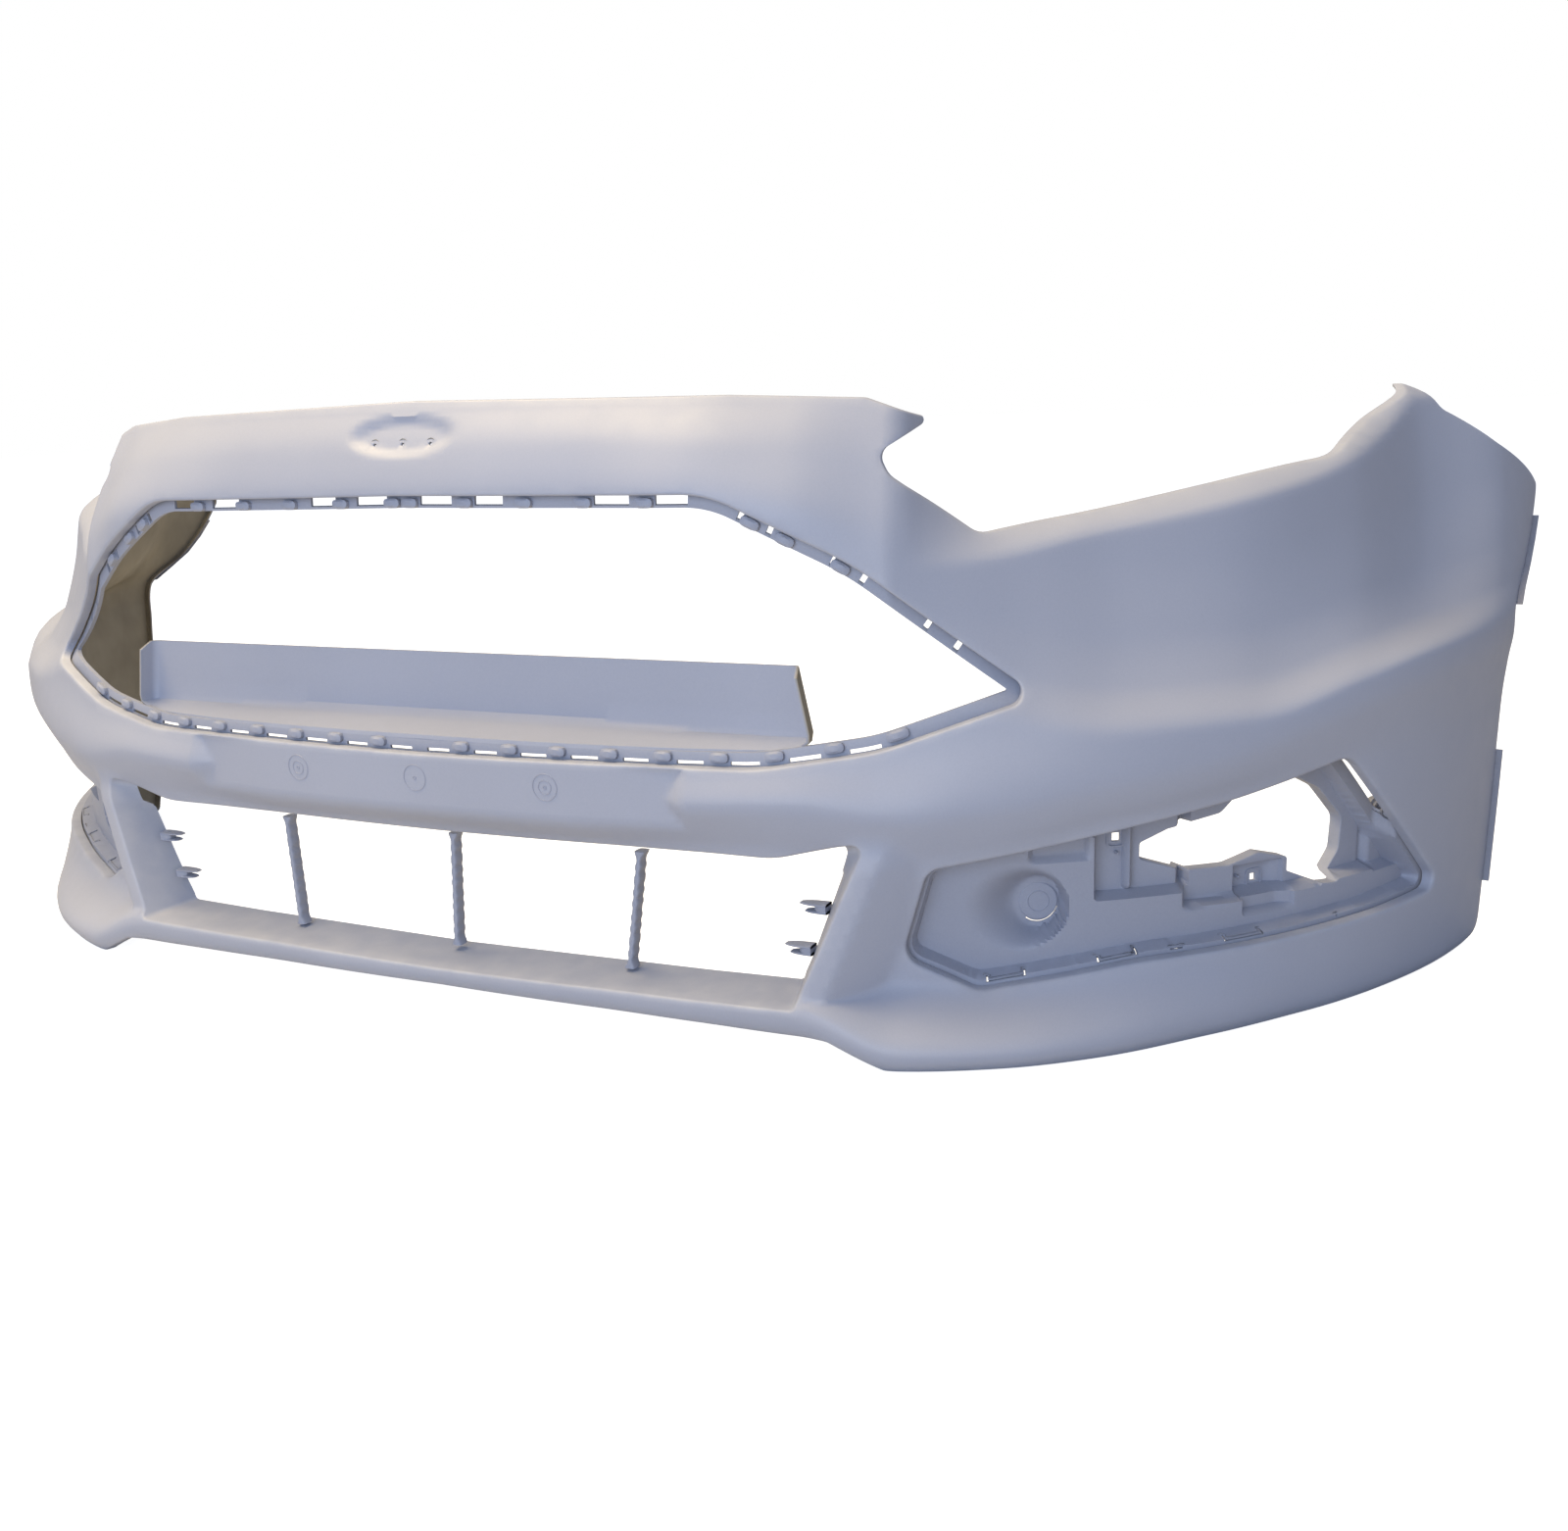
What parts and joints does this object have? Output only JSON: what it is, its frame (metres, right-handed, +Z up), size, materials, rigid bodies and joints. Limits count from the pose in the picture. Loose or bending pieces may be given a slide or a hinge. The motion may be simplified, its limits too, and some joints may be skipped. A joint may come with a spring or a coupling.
{
  "type": "front bumper cover",
  "caption": "Primed front bumper cover of a compact hatchback: wide upper grille aperture, lower intake with struts, fog lamp pockets and wrap-round wings.",
  "frame": {"origin": "bottom centre of the bounding box, on the floor that the cover stands on", "axes": "+Z up, the front of the car faces -Y, +X points to the car's left side"},
  "size_m": [1.7554, 0.6764, 0.541],
  "materials": {
    "arch_edge_strip_left": "bare grey moulding",
    "arch_edge_strip_right": "bare grey moulding",
    "closeout_panel": "matt cool grey primer",
    "cover_skin": "matt cool grey primer with fine speckle",
    "fender_edge_strip_left": "bare grey moulding",
    "fender_edge_strip_right": "bare grey moulding",
    "fog_carrier_left": "matt cool grey primer",
    "fog_carrier_right": "matt cool grey primer",
    "fog_lamp_blank_left": "matt cool grey primer",
    "fog_lamp_blank_right": "matt cool grey primer",
    "grille_hook_lower_left": "matt cool grey primer",
    "grille_hook_lower_right": "matt cool grey primer",
    "grille_hook_upper_left": "matt cool grey primer",
    "grille_hook_upper_right": "matt cool grey primer",
    "intake_post_centre": "matt cool grey primer",
    "intake_post_left": "matt cool grey primer",
    "intake_post_right": "matt cool grey primer",
    "screw_grommet_left": "bare grey moulding",
    "screw_grommet_right": "bare grey moulding",
    "upper_grille_retainer": "matt cool grey primer"
  },
  "bodies": {
    "root": {"arch_edge_strip_left": "arch_edge_strip_left", "arch_edge_strip_right": "arch_edge_strip_right", "closeout_panel": "closeout_panel", "cover_skin": "cover_skin", "fender_edge_strip_left": "fender_edge_strip_left", "fender_edge_strip_right": "fender_edge_strip_right", "fog_carrier_left": "fog_carrier_left", "fog_carrier_right": "fog_carrier_right", "fog_lamp_blank_left": "fog_lamp_blank_left", "fog_lamp_blank_right": "fog_lamp_blank_right", "grille_hook_lower_left": "grille_hook_lower_left", "grille_hook_lower_right": "grille_hook_lower_right", "grille_hook_upper_left": "grille_hook_upper_left", "grille_hook_upper_right": "grille_hook_upper_right", "intake_post_centre": "intake_post_centre", "intake_post_left": "intake_post_left", "intake_post_right": "intake_post_right", "screw_grommet_left": "screw_grommet_left", "screw_grommet_right": "screw_grommet_right", "upper_grille_retainer": "upper_grille_retainer"}
  },
  "joints": []
}
